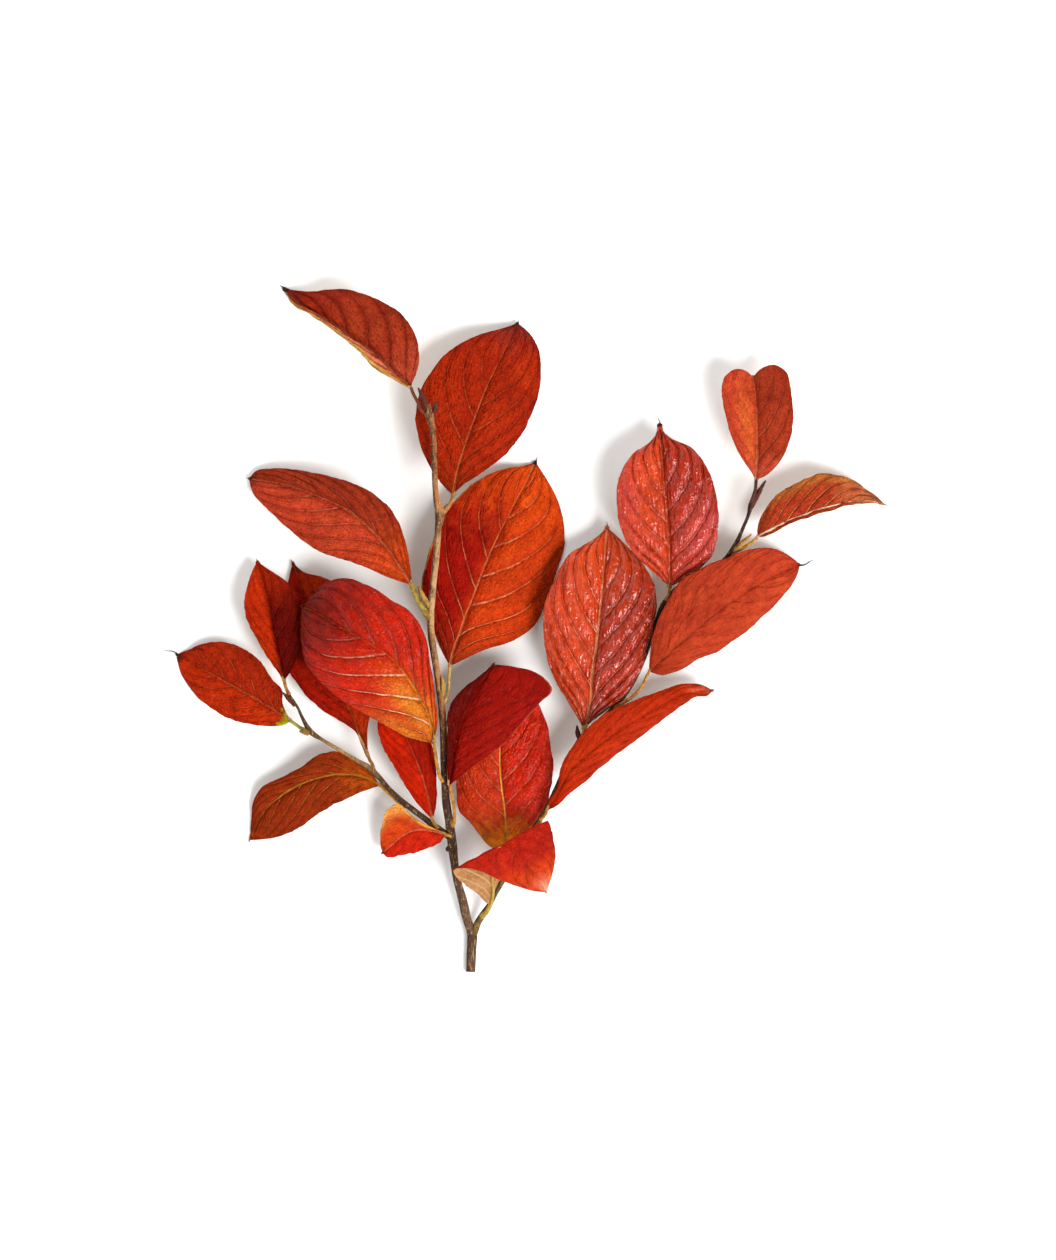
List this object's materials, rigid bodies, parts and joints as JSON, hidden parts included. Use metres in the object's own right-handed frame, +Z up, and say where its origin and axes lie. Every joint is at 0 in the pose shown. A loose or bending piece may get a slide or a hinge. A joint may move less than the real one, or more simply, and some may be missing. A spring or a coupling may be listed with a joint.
{
  "type": "autumn leaf sprig",
  "caption": "Cut woody sprig lying flat, with pointed oval autumn leaves on short stalks along a forked stem with buds.",
  "frame": {"origin": "centre of the sprig's outline seen from above, on the surface that it lies on", "axes": "+X towards the picture's right, +Y towards its top, where the stem's crown points, +Z up from the surface, towards the camera"},
  "size_m": [0.2136, 0.206, 0.0214],
  "materials": {
    "leaf": "fresh leaf skin, satin, red-orange with yellow veins and a cream underside",
    "bark": "thin smooth bark, matte, tan to dark purple-brown, with pale specks"
  },
  "bodies": {
    "root": {"twig": "bark", "leaf_crown_left": "leaf", "leaf_crown": "leaf", "leaf_left_upper": "leaf", "leaf_centre": "leaf", "leaf_centre_left": "leaf", "leaf_left_shoot_end": "leaf", "leaf_left_shoot_back": "leaf", "leaf_far_left": "leaf", "leaf_low_left": "leaf", "leaf_low_small": "leaf", "leaf_behind_centre": "leaf", "leaf_stem_right": "leaf", "leaf_stem_right_back": "leaf", "leaf_folded": "leaf", "leaf_low_right": "leaf", "leaf_right_glossy": "leaf", "leaf_right_upper": "leaf", "leaf_right_broad": "leaf", "leaf_notched": "leaf", "leaf_far_right": "leaf"}
  },
  "joints": []
}
